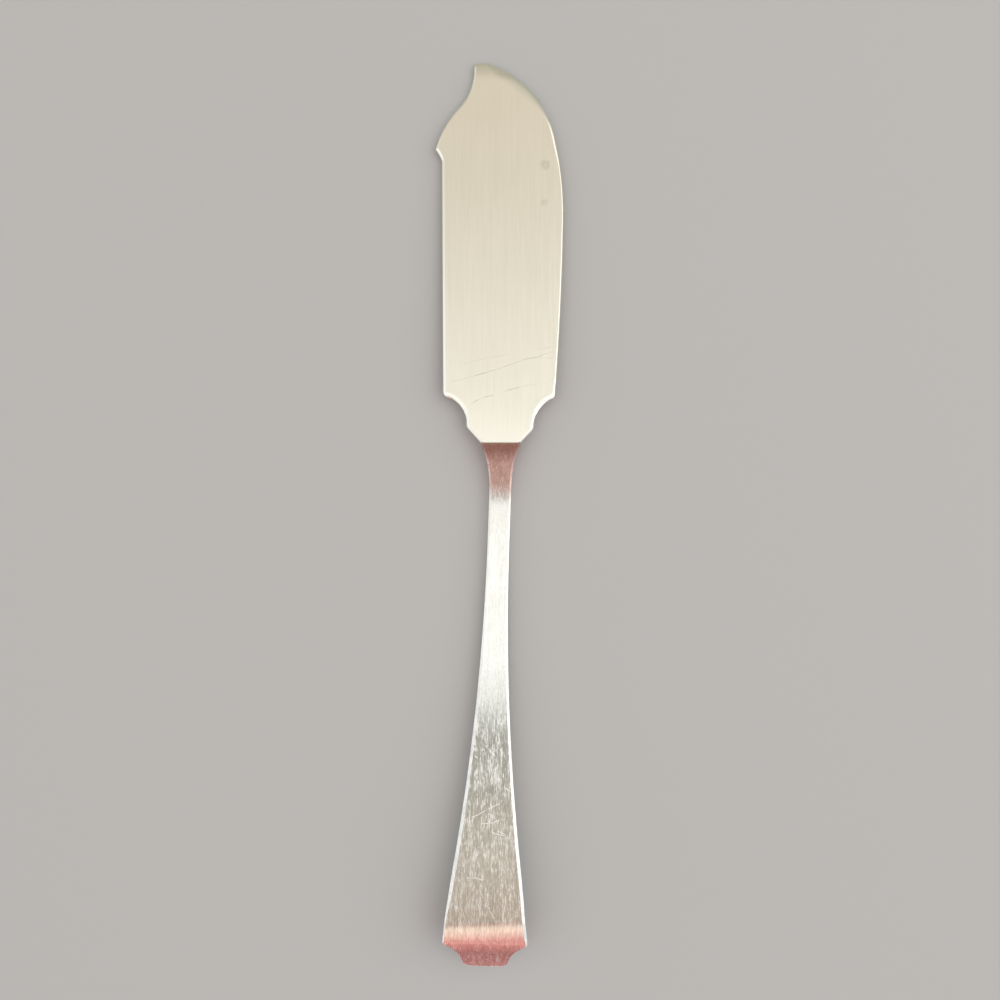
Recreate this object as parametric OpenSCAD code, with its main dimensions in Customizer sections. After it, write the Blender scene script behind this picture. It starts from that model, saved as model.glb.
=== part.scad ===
// Flat-handled butter spreader: a sheet blade whose tang is soldered into a bowed bar handle.
// It lies back side up, as it rests by itself: on the tip of the blade and on the bow of the handle.
// +Y points to the tip, +X to the cutting edge. Heights of the blade are measured from the neck joint.

/* [Blade outline] */
// Length of the blade from the neck joint to the tip
blade_l = 63.45; // [52:0.05:75]
// Distance from the axis to the spine where the notch starts
spine_x = 9.7; // [8.5:0.1:12]
// Distance from the axis to the spine at the heel
heel_spine_x = 9.45; // [9:0.05:12]
// Distance from the axis to the cutting edge at the heel
heel_edge_x = 9.05; // [8.9:0.05:12]
// Distance from the axis to the widest place of the cutting edge
belly_x = 10.35; // [9.4:0.05:13]
// Distance of that widest place back from the tip
belly_back = 26; // [18:0.5:34]
// How far the cutting edge swells off the straight between heel and belly
edge_swell = 0.2; // [0.05:0.05:0.6]

/* [Heel and neck] */
// Height of the heel's lower corners above the joint
heel_y = 7.75; // [7:0.05:12]
// Height of the heel's rounded corners
heel_r = 0.75; // [0.4:0.05:1.2]
// Distance from the axis to the outer ends of the coves
cove_x = 8.8; // [7.5:0.05:8.85]
// Width of the waist below the coves
waist_w = 11.1; // [8:0.1:13]
// Height at which the coves start
cove_y = 3.5; // [3.2:0.05:4.7]
// How far the coves are hollowed off their chord
cove_rise = 0.8; // [0.2:0.05:1]
// Height of the waist's corners, where the taper to the neck starts
waist_y = 2.65; // [1.7:0.05:3.1]
// Width of the neck at the joint
joint_w = 6.7; // [5:0.1:7.5]

/* [Blade tip] */
// Distance from the axis to the spine side of the beak
beak_spine_x = 4; // [3.5:0.1:5]
// Distance from the axis to the edge side of the beak, on the spine side too
beak_edge_x = 2.35; // [1:0.05:2.8]
// Height of the beak's upright side
beak_h = 0.85; // [0.5:0.05:1.5]
// How far the beak overhangs its upper corner
beak_lean = 0.35; // [0.1:0.05:0.6]
// Distance from the axis to the joint of the two edge curves
sweep_x = 9.1; // [8:0.05:10]
// Distance of that joint back from the tip
sweep_back = 13.3; // [9:0.1:17]
// How far the long edge curve stands off its chord
sweep_rise = 0.42; // [0.1:0.02:0.8]
// How far the tip's edge curve stands off its chord
tip_rise = 2.5; // [1:0.1:4]
// Distance from the axis to the point beside the notch
notch_x = 10.75; // [10:0.05:13]
// Distance of that point back from the tip
notch_back = 14.5; // [12:0.1:18]
// Length of the notch along the spine
notch_l = 2.1; // [1.5:0.1:4]
// How far the notch is hollowed off its chord
notch_rise = 0.12; // [0.02:0.02:0.3]
// Distance from the axis to the place where the clip turns from convex to hollow
clip_x = 6.8; // [6:0.1:8]
// Distance of that place back from the tip
clip_back = 7.4; // [5:0.1:9]
// How far the lower, convex clip stands off its chord
clip_rise = 0.48; // [0.1:0.02:0.8]
// How far the upper, hollow clip stands off its chord
hook_rise = 0.72; // [0.2:0.02:1]

/* [Blade section] */
// Thickness of the blade
blade_t = 1.1; // [0.9:0.05:1.6]
// Depth of the softened edges of the blade
edge_soft = 0.22; // [0.1:0.02:0.35]
// Width of the softening along the spine and the heel
spine_soft_w = 0.25; // [0.1:0.05:0.4]
// Width of the thinning along the cutting edge
edge_thin_w = 0.7; // [0.3:0.05:1.2]

/* [Handle outline] */
// Length of the handle from the neck joint to the end of the lip
handle_l = 85.65; // [70:0.05:100]
// Length over which the neck narrows below the joint
neck_l = 9; // [5:0.1:12]
// Width of the handle at its narrowest
neck_w = 3.6; // [3.3:0.1:5]
// Distance from the joint to the start of the flare
flare_from = 16.75; // [12:0.25:30]
// Width of the handle across its shoulders
end_w = 13.8; // [11:0.1:18]
// Length over which the flanks turn back toward the shoulders
swell_l = 12.5; // [6:0.5:18]
// Radius of the shoulders' corners
shoulder_r = 0.8; // [0.3:0.05:1]
// Length of the lip below the shoulders
lip_l = 3.65; // [2.6:0.05:4.5]
// Width of the lip at the foot of its coves
lip_w = 7.3; // [6:0.1:8]
// Reach of the lip's end corners across the handle
lip_corner_w = 2; // [1:0.1:2.8]
// Reach of the lip's end corners along the handle
lip_corner_l = 0.75; // [0.5:0.05:1.3]
// How far the lip's coves are hollowed off their chord
lip_cove_rise = 0.44; // [0.1:0.02:0.6]
// Sideways lean of the handle from the blade's axis, in degrees
lean = 2.05; // [0:0.05:4]
// Distance from the joint to the start of the lean
lean_from = 2.5; // [1:0.25:10]
// Length over which the lean grows to its full angle
lean_l = 8; // [4:0.5:20]

/* [Handle section] */
// Thickness of the handle at the joint
neck_t = 2; // [1.8:0.05:2.6]
// Thickness of the handle at the end of the lip
end_t = 1.5; // [1.3:0.05:2]
// Width of the bevels along the flanks at the shoulders
bevel_w = 0.6; // [0.3:0.05:1]
// Width of the bevels at the neck
neck_bevel_w = 0.3; // [0.15:0.05:0.5]
// Width of the softened edges round the lip
lip_soft_w = 0.2; // [0.1:0.05:0.4]
// Depth of the bevels
bevel_h = 0.35; // [0.15:0.05:0.5]

/* [Side profile] */
// Depth of the bow below the blade's middle plane
bow_h = 1.5; // [0.8:0.1:2.2]
// Distance from the joint to the deepest place of the bow
bow_at = 12.75; // [10:0.25:24]
// Rise of the handle from there to the bend of the lip
end_rise = 2.8; // [1:0.1:4]
// Radius of the bend that rolls the lip down
bend_r = 13; // [9:0.5:16]
// Flat at the end of the lip, below the bend
lip_flat = 1.8; // [1:0.1:2.6]
// Downward turn of the lip, in degrees
lip_turn = 24; // [16:1:30]

/* [Soldered joint] */
// Length of the tang in the handle
tang_l = 6; // [4:0.1:9]
// Width of the tang
tang_w = 2.2; // [1.6:0.1:2.4]
// Thickness of the tang
tang_t = 0.8; // [0.6:0.05:0.9]
// Solder clearance round the tang and at the joint
solder_gap = 0.1; // [0.05:0.01:0.2]
// Height of the solder fillet against the end of the handle
solder_fillet = 0.2; // [0.05:0.05:0.3]

/* [Hidden] */
// Steps in an arc, in a short corner and in a long curve
arc_n = 10;
corner_n = 6;
curve_n = 18;
// Share of its steepest slope that the flank keeps at the shoulders
swell_slope = 0.7;
// Length of the tang's root inside the blade
tang_root = 1.5;

// Points after p on the arc to q that stands off its chord by rise, to the right of the way from p to q
function arc(p, q, rise, n = arc_n) =
    let (half = norm(q - p) / 2)
    let (along = (q - p) / (2 * half))
    let (side = [along.y, -along.x])
    let (r = (half * half + rise * rise) / (2 * rise))
    let (centre = (p + q) / 2 + side * (rise - r))
    let (turn = asin(half / abs(r)))
    [for (i = [1:n])
        let (a = turn * (2 * i / n - 1))
        centre + side * r * cos(a) + along * abs(r) * sin(a)];

// Points after p on the quarter ellipse to q that leaves p along x
function quarter(p, q, n = corner_n) =
    [for (i = [1:n]) [p.x + (q.x - p.x) * sin(90 * i / n), q.y + (p.y - q.y) * cos(90 * i / n)]];

// Evenly spaced values after a, up to b
function steps(a, b, n) = [for (i = [1:n]) a + (b - a) * i / n];

// The same chain of points seen from the other side of the axis
function mirrored(chain) = [for (p = chain) [-p.x, p.y]];

// Heel of one side of the blade, from the joint up to the heel's corner at distance x
function heel(x) =
    let (foot = [waist_w / 2, cove_y])
    let (inner = [cove_x, heel_y])
    let (outer = [x, heel_y + heel_r])
    concat(
        [[joint_w / 2, solder_gap], [waist_w / 2, waist_y], foot],
        arc(foot, inner, -cove_rise),
        quarter(inner, outer));

// Main points of the blade's outline
heel_edge_top = [heel_edge_x, heel_y + heel_r];
belly = [belly_x, blade_l - belly_back];
sweep = [sweep_x, blade_l - sweep_back];
tip_edge = [-beak_edge_x, blade_l];
tip_spine = [-beak_spine_x, blade_l];
beak = [-beak_spine_x - beak_lean, blade_l - beak_h];
clip = [-clip_x, blade_l - clip_back];
notch_top = [-notch_x, blade_l - notch_back];
notch_foot = [-spine_x, blade_l - notch_back - notch_l];
beak_rise = beak_lean / 3;

// Cutting edge and spine, each from the joint up to the tip
edge_chain = concat(
    heel(heel_edge_x),
    arc(heel_edge_top, belly, edge_swell),
    arc(belly, sweep, sweep_rise),
    arc(sweep, tip_edge, tip_rise, curve_n));
spine_chain = concat(
    mirrored(heel(heel_spine_x)),
    [notch_foot],
    arc(notch_foot, notch_top, notch_rise, corner_n),
    arc(notch_top, clip, -clip_rise),
    arc(clip, beak, hook_rise),
    arc(beak, tip_spine, -beak_rise, corner_n));

// Chain moved into the blade by width, where side is 1 for the cutting edge and -1 for the spine
function inset(chain, width, side) =
    [for (i = [0:len(chain) - 1])
        let (a = chain[max(i - 1, 0)], b = chain[min(i + 1, len(chain) - 1)])
        let (t = (b - a) / norm(b - a))
        chain[i] + side * width * [-t.y, t.x]];

// Distance of a chain from the axis at a height y
function across(chain, y) = lookup(y, [for (p = chain) [p.y, p.x]]);

edge_face = inset(edge_chain, edge_thin_w, 1);
spine_face = inset(spine_chain, spine_soft_w, -1);
face_h = blade_t / 2;
rim_h = face_h - edge_soft;
// Depth of the softening across the tip and the joint's edge, and across the end of the lip
tip_soft = 0.8 * edge_soft;
lip_soft = 0.6 * bevel_h;

// Heights of the blade's sections: every height at which the outline turns, and steps between them
blade_heights = concat(
    [solder_gap, solder_gap + edge_soft],
    steps(solder_gap + edge_soft, waist_y, 4),
    steps(waist_y, cove_y, 2),
    steps(cove_y, heel_y, 14),
    [for (i = [1:corner_n]) heel_y + heel_r * (1 - cos(90 * i / corner_n))],
    steps(heel_y + heel_r, notch_foot.y, 16),
    steps(notch_foot.y, notch_top.y, corner_n),
    steps(notch_top.y, clip.y, 12),
    steps(clip.y, beak.y, 12),
    steps(beak.y, blade_l - edge_soft, corner_n),
    [blade_l]);

// Section of the blade at height y, thinner within the softening of the tip and of the joint's edge
function blade_section(y) =
    let (end = max(0, y - (blade_l - edge_soft), solder_gap + edge_soft - y) / edge_soft)
    let (h = face_h - tip_soft * end)
    let (rim = [across(spine_chain, y), across(edge_chain, y)])
    let (face = [across(spine_face, y), across(edge_face, y)])
    [[rim[0], y, -rim_h], [face[0], y, -h], [face[1], y, -h], [rim[1], y, -rim_h],
     [rim[1], y, rim_h], [face[1], y, h], [face[0], y, h], [rim[0], y, rim_h]];

// Slope of the bow where it meets the bend of the lip, and the places of the bend
shoulder_d = handle_l - lip_l;
bend_end = handle_l - lip_flat;
fall_r = (bow_at * bow_at + bow_h * bow_h) / (2 * bow_h);
rise_run = bend_end - bow_at;
rise_r = (rise_run * rise_run + end_rise * end_rise) / (2 * end_rise);
bend_slope = asin((rise_run - bend_r * sin(lip_turn)) / (rise_r + bend_r));
bend_from = bend_end - bend_r * (sin(bend_slope) + sin(lip_turn));

// Height of the handle's middle line at a distance d from the joint
function rise_z(d) = -bow_h + rise_r - sqrt(rise_r * rise_r - pow(d - bow_at, 2));
function bend_z(d) =
    rise_z(bend_from) + bend_r * (cos(asin(sin(bend_slope) - (d - bend_from) / bend_r)) - cos(bend_slope));
function middle_z(d) =
    d <= 0 ? 0 :
    d <= bow_at ? -bow_h + fall_r - sqrt(fall_r * fall_r - pow(bow_at - d, 2)) :
    d <= bend_from ? rise_z(d) :
    d <= bend_end ? bend_z(d) :
    bend_z(bend_end) - (d - bend_end) * tan(lip_turn);

// Sideways place of the handle's middle line, which leans as far as the bend, and the lean of its sections
function middle_x(d) =
    let (run = min(d, bend_from) - lean_from)
    let (curved = max(0, min(run, lean_l)))
    -tan(lean) * (curved * curved / (2 * lean_l) + max(0, run - lean_l));
function lean_at(d) = lean * max(0, min(1, (d - lean_from) / lean_l));

// Half width of the handle: a cubic fillet at the neck, then a flare that turns back toward the shoulders
swell_from = shoulder_d - shoulder_r - swell_l;
flare_run = swell_from - flare_from;
flare_k = (end_w - neck_w) / 2 / (flare_run * flare_run + (1 + swell_slope) * flare_run * swell_l);
flare_slope = 2 * flare_k * flare_run;
function swell_w(d) = flare_slope * d - (1 - swell_slope) * flare_slope * d * d / (2 * swell_l);
function flank_w(d) =
    neck_w / 2
    + (joint_w - neck_w) / 2 * pow(max(0, 1 - d / neck_l), 3)
    + flare_k * pow(max(0, min(d, swell_from) - flare_from), 2)
    + swell_w(max(0, d - swell_from));

// Outline of one side of the handle, as pairs of distance from the joint and half width
flank_places = concat(
    [0],
    steps(0, neck_l, 8),
    steps(neck_l, flare_from, 4),
    steps(flare_from, swell_from, curve_n),
    steps(swell_from, bend_from, 4),
    steps(bend_from, shoulder_d - shoulder_r, 8));
shoulder_top = [shoulder_d - shoulder_r, end_w / 2];
shoulder_low = [shoulder_d, end_w / 2 - shoulder_r];
lip_side = [handle_l - lip_corner_l, lip_w / 2];
lip_end = [handle_l, lip_w / 2 - lip_corner_w];
handle_edge = concat(
    [for (d = flank_places) [d, flank_w(d)]],
    quarter(shoulder_top, shoulder_low),
    arc(shoulder_low, lip_side, lip_cove_rise, arc_n),
    quarter(lip_side, lip_end, arc_n));

// Width of the bevels, which grow with the flare and shrink round the shoulders' corners to the lip
function bevel_at(d) =
    let (flare = max(0, min(1, (d - flare_from) / flare_run)))
    let (corner = max(0, min(1, (shoulder_d - d) / shoulder_r)))
    lip_soft_w * (1 - corner) + corner * (neck_bevel_w + (bevel_w - neck_bevel_w) * flare);

// Section of the handle at one pair of its outline, square to the lean, with a bevel on each of its four edges
function handle_section(pair) =
    let (d = pair[0], w = pair[1], z = middle_z(d), bevel = bevel_at(d))
    let (middle = [middle_x(d), -d], out = [cos(lean_at(d)), -sin(lean_at(d))])
    let (rim_l = middle - w * out, rim_r = middle + w * out)
    let (top_l = middle - (w - bevel) * out, top_r = middle + (w - bevel) * out)
    let (end = max(0, d - (handle_l - lip_soft_w)) / lip_soft_w)
    let (half_t = (neck_t + (end_t - neck_t) * d / handle_l) / 2)
    let (h = half_t - lip_soft * end, rim = half_t - bevel_h)
    [[each rim_l, z + rim], [each top_l, z + h], [each top_r, z + h], [each rim_r, z + rim],
     [each rim_r, z - rim], [each top_r, z - h], [each top_l, z - h], [each rim_l, z - rim]];
handle_sections = [for (pair = handle_edge) handle_section(pair)];

// Bar that runs from a place above the joint down into the handle and follows its middle line
function bar_sections(w, t, from, to) =
    [for (d = concat([-from, 0], steps(0, to, 6)))
        let (x = middle_x(d), z = middle_z(d))
        [[x - w / 2, -d, z + t / 2], [x + w / 2, -d, z + t / 2],
         [x + w / 2, -d, z - t / 2], [x - w / 2, -d, z - t / 2]]];
slot_w = tang_w + 2 * solder_gap;
slot_t = tang_t + 2 * solder_gap;
slot_l = tang_l + solder_gap;

// Tilt at which the tip and the underside of the bow lie on one plane
tip_low = [blade_l - edge_soft, -face_h];
handle_low = [for (s = handle_sections, i = [5, 6]) s[i]];
rest_tilt = max([for (p = handle_low) atan2(tip_low[1] - p.z, tip_low[0] - p.y)]);
function rest_y(y, z) = y * cos(rest_tilt) + z * sin(rest_tilt);
function rest_z(y, z) = z * cos(rest_tilt) - y * sin(rest_tilt);
outline_x = concat(
    [for (p = concat(edge_chain, spine_chain)) p.x],
    [for (s = handle_sections, p = s) p.x]);
lip_y = min([for (p = handle_low) rest_y(p.y, p.z)]);
centre_x = (min(outline_x) + max(outline_x)) / 2;
centre_y = (rest_y(blade_l, face_h - tip_soft) + lip_y) / 2;

// Solid through a row of sections with equal numbers of points
module loft(sections) {
    m = len(sections[0]);
    last = (len(sections) - 1) * m;
    skin = [for (i = [0:m:last - m], j = [0:m - 1], half = [0, 1])
        let (a = i + j, b = i + (j + 1) % m)
        half == 0 ? [a, b, b + m] : [a, b + m, a + m]];
    caps = [[for (j = [m - 1:-1:0]) j], [for (j = [0:m - 1]) last + j]];
    polyhedron([for (s = sections) each s], concat(skin, caps));
}

// Places the spreader as it rests, over the middle of its footprint
module settled() {
    translate([-centre_x, -centre_y, -rest_z(tip_low[0], tip_low[1])])
        rotate([-rest_tilt, 0, 0])
            children();
}

module tang() {
    loft(bar_sections(tang_w, tang_t, tang_root, tang_l));
}

module blade() {
    color([0.91, 0.88, 0.8])
        settled()
            union() {
                loft([for (y = blade_heights) blade_section(y)]);
                tang();
            }
}

module handle() {
    color([0.78, 0.75, 0.69])
        settled()
            difference() {
                loft(handle_sections);
                loft(bar_sections(slot_w, slot_t, tang_root, slot_l));
            }
}

// Film of solder round the tang and a thin fillet along both faces of the joint
module solder_seam() {
    seam_w = joint_w - 2 * spine_soft_w;
    fillet_y = solder_gap + edge_soft;
    profile = [
        [0, -face_h - solder_fillet], [fillet_y, -face_h], [solder_gap, tip_soft - face_h],
        [solder_gap, face_h - tip_soft], [fillet_y, face_h], [0, face_h + solder_fillet]];
    color([0.55, 0.5, 0.45])
        settled()
            difference() {
                union() {
                    translate([-seam_w / 2, 0, 0])
                        rotate([90, 0, 90])
                            linear_extrude(seam_w)
                                polygon(profile);
                    loft(bar_sections(slot_w, slot_t, solder_gap / 2, slot_l));
                }
                tang();
            }
}

blade();
handle();
solder_seam();
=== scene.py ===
from math import acos, asin, atan2, cos, copysign, exp, hypot, pi, radians, sin, sqrt, tan

import bmesh
import bpy
from mathutils import Matrix, Vector


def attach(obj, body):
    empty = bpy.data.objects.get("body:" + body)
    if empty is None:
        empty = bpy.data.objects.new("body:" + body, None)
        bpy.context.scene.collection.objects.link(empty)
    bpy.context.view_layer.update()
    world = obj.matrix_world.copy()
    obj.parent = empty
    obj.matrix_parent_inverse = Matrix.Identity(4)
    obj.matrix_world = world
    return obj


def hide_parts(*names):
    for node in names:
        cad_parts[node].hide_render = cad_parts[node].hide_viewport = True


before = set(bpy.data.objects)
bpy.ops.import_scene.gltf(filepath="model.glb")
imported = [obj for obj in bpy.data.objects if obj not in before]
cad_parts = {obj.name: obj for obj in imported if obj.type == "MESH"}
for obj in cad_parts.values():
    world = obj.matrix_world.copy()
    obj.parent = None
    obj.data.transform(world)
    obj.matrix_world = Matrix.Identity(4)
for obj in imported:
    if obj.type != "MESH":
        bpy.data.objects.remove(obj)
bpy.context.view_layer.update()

# Sizes in millimetres, in the spreader's own frame: y = 0 at the neck joint, +Y to the tip, +X to the
# cutting edge. A distance d is measured from the joint down the handle.
MM = 1000.0
BLADE_L = 63.45
BLADE_T = 1.1
JOINT_W = 6.7
WAIST_EDGE, COVE_EDGE, HEEL_EDGE, FOOT_EDGE = (5.48, 2.3), (5.56, 3.3), (8.6, 7.42), (9.11, 8.4)
WAIST_SPINE, COVE_SPINE, HEEL_SPINE, FOOT_SPINE = (-5.7, 2.7), (-5.7, 3.5), (-8.45, 7.52), (-9.58, 8.6)
BELLY = (10.5, BLADE_L - 26.0)
SWEEP = (9.22, BLADE_L - 13.3)
TIP_EDGE = (-2.35, BLADE_L + 0.2)
TIP_SPINE = (-3.55, BLADE_L + 0.2)
BEAK = (-4.45, BLADE_L - 0.7)
CLIP = (-7.0, BLADE_L - 7.4)
NOTCH_TOP = (-10.9, BLADE_L - 14.5)
NOTCH_FOOT = (-9.82, BLADE_L - 16.5)
# How far each curve of the outline stands off its chord
COVE_EDGE_RISE, COVE_SPINE_RISE, HEEL_EDGE_RISE, HEEL_SPINE_RISE = 0.67, 0.74, 0.14, 0.27
EDGE_RISE, BELLY_RISE, SWEEP_RISE, TIP_CORNER_RISE = 0.22, 0.38, 2.5, 0.265
CLIP_RISE, HOOK_RISE, NOTCH_RISE = 0.72, 0.48, 0.12
CORNER_ROUND = 0.35
# The rounded rim, how deep inside the outline its points are looked for, and the flat band beside it
BLADE_ROUND, RIM_STEPS = 0.5, 5
RIM_REACH = 1.2 * BLADE_ROUND
RIM_BAND = 0.04
# Rolled rims, from the face to the side: how far inside the outline and how far below the face
SOFT_RIM = [(0.75, 0.0), (0.5, 0.012), (0.26, 0.034), (0.06, 0.07), (0.01, 0.16), (0.0, 0.5)]
CRISP_RIM = [(0.31, 0.0), (0.21, 0.024), (0.128, 0.095), (0.06, 0.206), (0.015, 0.345), (0.0, 0.5)]
HONE_L, HONE_DROP, HONE_SPREAD = 3.2, 0.33, 3.0

HANDLE_L = 85.65
NECK_L, NECK_W, NECK_T = 9.0, 3.6, 2.0
FLARE_FROM = 16.75
END_W, END_T = 13.8, 1.5
BLANK_T = 2.0
SWELL_L, SWELL_SLOPE = 12.5, 0.7
SHOULDER_R = 0.8
LIP_L, LIP_W = 3.65, 7.3
LIP_CORNER_W, LIP_CORNER_L, LIP_COVE_RISE = 2.0, 0.75, 0.44
LEAN, LEAN_FROM, LEAN_L = 2.05, 2.5, 8.0
EDGE_BEVEL_W, SPINE_BEVEL_W, NECK_BEVEL_W = 0.48, 0.57, 0.28
EDGE_BEVEL_FADE, SPINE_BEVEL_FADE = 0.4, 0.65
BEVEL_SLOPE, LIP_RIM_SLOPE = 0.55, 0.22
CHAMFER = 0.14
BOW_H, BOW_AT, END_RISE = 1.5, 12.75, 2.8
NECK_DIP, NECK_DIP_AT, NECK_DIP_L = 0.1, 10.3, 3.4
BEND_FROM, BEND_END = 77.6, 83.85
CREASE_AT, CREASE_SKEW, CREASE_L = 77.7, 0.07, 1.4

TANG_L, TANG_W, TANG_T = 6.0, 2.2, 0.8
TANG_STEPS = 6
SOLDER_GAP, SOLDER_FILLET, FILLET_Y = 0.1, 0.1, 0.15
SEAM_W, SEAM_TOE, SEAM_ARRIS = JOINT_W - 0.3, 0.2, 0.04
SEAM_SLACK = 0.01

# Points closer than this are welded, and edges that turn by more than this are sharp
WELD_GAP = 0.0005
SHARP_TURN = radians(25)

# The spreader rests back side up, tilted onto its tip and the bow of its handle
REST_TILT = 1.45939
SETTLED = (
    Matrix.Scale(1 / MM, 4)
    @ Matrix.Translation((0.187073, 11.139, 2.16018))
    @ Matrix.Rotation(radians(-REST_TILT), 4, "X")
)


# The bar's own lines

SHOULDER_D = HANDLE_L - LIP_L
CORNER_D, CORNER_X = SHOULDER_D - SHOULDER_R, END_W / 2 - SHOULDER_R
FALL_R = (BOW_AT**2 + BOW_H**2) / (2 * BOW_H)
RISE_RUN = BEND_END - BOW_AT
RISE_R = (RISE_RUN**2 + END_RISE**2) / (2 * END_RISE)
# Slopes past the crease of the lip: a roll that grows steeper, then runs nearly straight to the end
LIP_SLOPES = [(77.0, -0.035), (79.0, -0.09), (83.4, -0.37), (HANDLE_L, -0.44)]
SWELL_FROM = CORNER_D - SWELL_L
FLARE_RUN = SWELL_FROM - FLARE_FROM
FLARE_K = (END_W - NECK_W) / 2 / (FLARE_RUN**2 + (1 + SWELL_SLOPE) * FLARE_RUN * SWELL_L)


def lip_slope(d):
    """Slope of the rolled lip, d down the handle."""
    for (a, slope_a), (b, slope_b) in zip(LIP_SLOPES, LIP_SLOPES[1:]):
        if d <= b:
            return slope_a + (slope_b - slope_a) * (d - a) / (b - a)
    return LIP_SLOPES[-1][1]


def middle_z(d, u=0.0):
    """Height of the bar's middle, u to the side: it sags, rises slowly and turns down at the lip."""
    if d <= 0:
        return 0.0
    if d <= BOW_AT:
        return FALL_R - sqrt(FALL_R**2 - (BOW_AT - d) ** 2) - BOW_H
    crease = CREASE_AT - CREASE_SKEW * u
    z = RISE_R - sqrt(RISE_R**2 - (min(d, crease) - BOW_AT) ** 2) - BOW_H
    past = crease + CREASE_L
    slopes = [(crease, tan(asin((crease - BOW_AT) / RISE_R))), (past, lip_slope(past))]
    slopes += [(a, slope) for a, slope in LIP_SLOPES if a > past]
    for (a, slope_a), (b, slope_b) in zip(slopes, slopes[1:]):
        run = max(0.0, min(d, b) - a)
        z += run * (slope_a + (slope_b - slope_a) * run / (b - a) / 2)
    return z


def neck_dip(d):
    """How far the upper face sinks below the neck, where the bar is worn a little thinner."""
    return NECK_DIP * exp(-(((d - NECK_DIP_AT) / NECK_DIP_L) ** 2))


def middle_x(d):
    """Sideways place of the bar's middle, which leans a little away from the cutting edge."""
    run = min(d, BEND_FROM) - LEAN_FROM
    curved = max(0, min(run, LEAN_L))
    return -tan(radians(LEAN)) * (curved**2 / (2 * LEAN_L) + max(0, run - LEAN_L))


def lean_at(d):
    """Angle at which the bar's sections stand to the blade's axis."""
    return radians(LEAN) * max(0.0, min(1.0, (d - LEAN_FROM) / LEAN_L))


def flank_w(d):
    """Half width of the bar: a fillet at the neck, a flare, and a turn back toward the shoulders."""
    swell = max(0, d - SWELL_FROM)
    slope = 2 * FLARE_K * FLARE_RUN
    return (
        NECK_W / 2
        + (JOINT_W - NECK_W) / 2 * max(0, 1 - d / NECK_L) ** 3
        + FLARE_K * max(0, min(d, SWELL_FROM) - FLARE_FROM) ** 2
        + slope * swell
        - (1 - SWELL_SLOPE) * slope * swell**2 / (2 * SWELL_L)
    )


def bar_t(d):
    """Thickness of the bar, d down the handle."""
    return NECK_T + (END_T - NECK_T) * d / HANDLE_L


def ease(none_at, full_at, value):
    """0 at one value, 1 at another, and a smooth step between them, either way round."""
    t = max(0.0, min(1.0, (value - none_at) / (full_at - none_at)))
    return t * t * (3 - 2 * t)


def stations(start, stop, pitch):
    """Evenly spaced places from start to stop, about a pitch apart."""
    n = max(1, round((stop - start) / pitch))
    return [start + (stop - start) * i / n for i in range(n + 1)]


# Drawing of outlines

def carry_line(bm, last, *points):
    """Extrudes the end of an outline through a row of points and returns its new end."""
    for x, y in points:
        last = bmesh.ops.extrude_vert_indiv(bm, verts=[last])["verts"][0]
        last.co = (x, y, 0)
    return last


def arc_centre(p, q, rise):
    """Centre and radius of the arc from p to q that stands off its chord by rise, to the right of the way."""
    p, q = Vector(p), Vector(q)
    half = (q - p).length / 2
    along = (q - p) / (2 * half)
    side = Vector((along.y, -along.x))
    radius = (half**2 + rise**2) / (2 * rise)
    return (p + q) / 2 + side * (rise - radius), radius


def carry_arc(bm, last, to, rise, steps):
    """Spins the end of an outline along an arc to a point and returns its new end."""
    centre, radius = arc_centre(last.co.xy, to, rise)
    half = (Vector(to) - last.co.xy).length / 2
    turn = copysign(2 * asin(half / abs(radius)), rise)
    spun = bmesh.ops.spin(
        bm, geom=[last], cent=centre.to_3d(), axis=(0, 0, 1), angle=turn, steps=steps, use_merge=False
    )
    return next(v for v in spun["geom_last"] if isinstance(v, bmesh.types.BMVert))


def carry_quarter(bm, last, to, steps):
    """Extrudes the end of an outline round a quarter of an ellipse that leaves it along the bar."""
    p, q = last.co.copy(), Vector(to)
    turns = [pi / 2 * (i + 1) / steps for i in range(steps)]
    return carry_line(bm, last, *[(q.x + (p.x - q.x) * cos(t), p.y + (q.y - p.y) * sin(t)) for t in turns])


def close_outline(bm, last, first):
    """Joins the outline's two ends and fills it."""
    bm.edges.new((last, first))
    bmesh.ops.contextual_create(bm, geom=bm.edges[:])


def thicken(bm, thickness):
    """Raises a flat sheet into a plate whose middle plane is at z = 0."""
    raised = bmesh.ops.extrude_face_region(bm, geom=bm.faces[:])["geom"]
    up = [v for v in raised if isinstance(v, bmesh.types.BMVert)]
    bmesh.ops.translate(bm, verts=up, vec=(0, 0, thickness))
    bmesh.ops.translate(bm, verts=bm.verts[:], vec=(0, 0, -thickness / 2))
    bmesh.ops.recalc_face_normals(bm, faces=bm.faces[:])


def rim_edges(bm, end_y):
    """Edges of a plate's two outlines, apart from those across its end at end_y."""
    return [
        e
        for e in bm.edges
        if e.is_manifold
        and e.calc_face_angle() > 1
        and abs(e.verts[0].co.z - e.verts[1].co.z) < 1e-5
        and not all(abs(v.co.y - end_y) < 1e-4 for v in e.verts)
    ]


def cut_across(bm, d, skew=0.0):
    """Adds a row of edges across a piece, d down from the joint."""
    geom = bm.verts[:] + bm.edges[:] + bm.faces[:]
    bmesh.ops.bisect_plane(bm, geom=geom, dist=1e-4, plane_co=(0, -d, 0), plane_no=(-skew, 1, 0))


def end_face(bm, way):
    """The widest face that looks along way."""
    return max((f for f in bm.faces if f.normal.dot(way) > 0.95), key=lambda f: f.calc_area())


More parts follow.
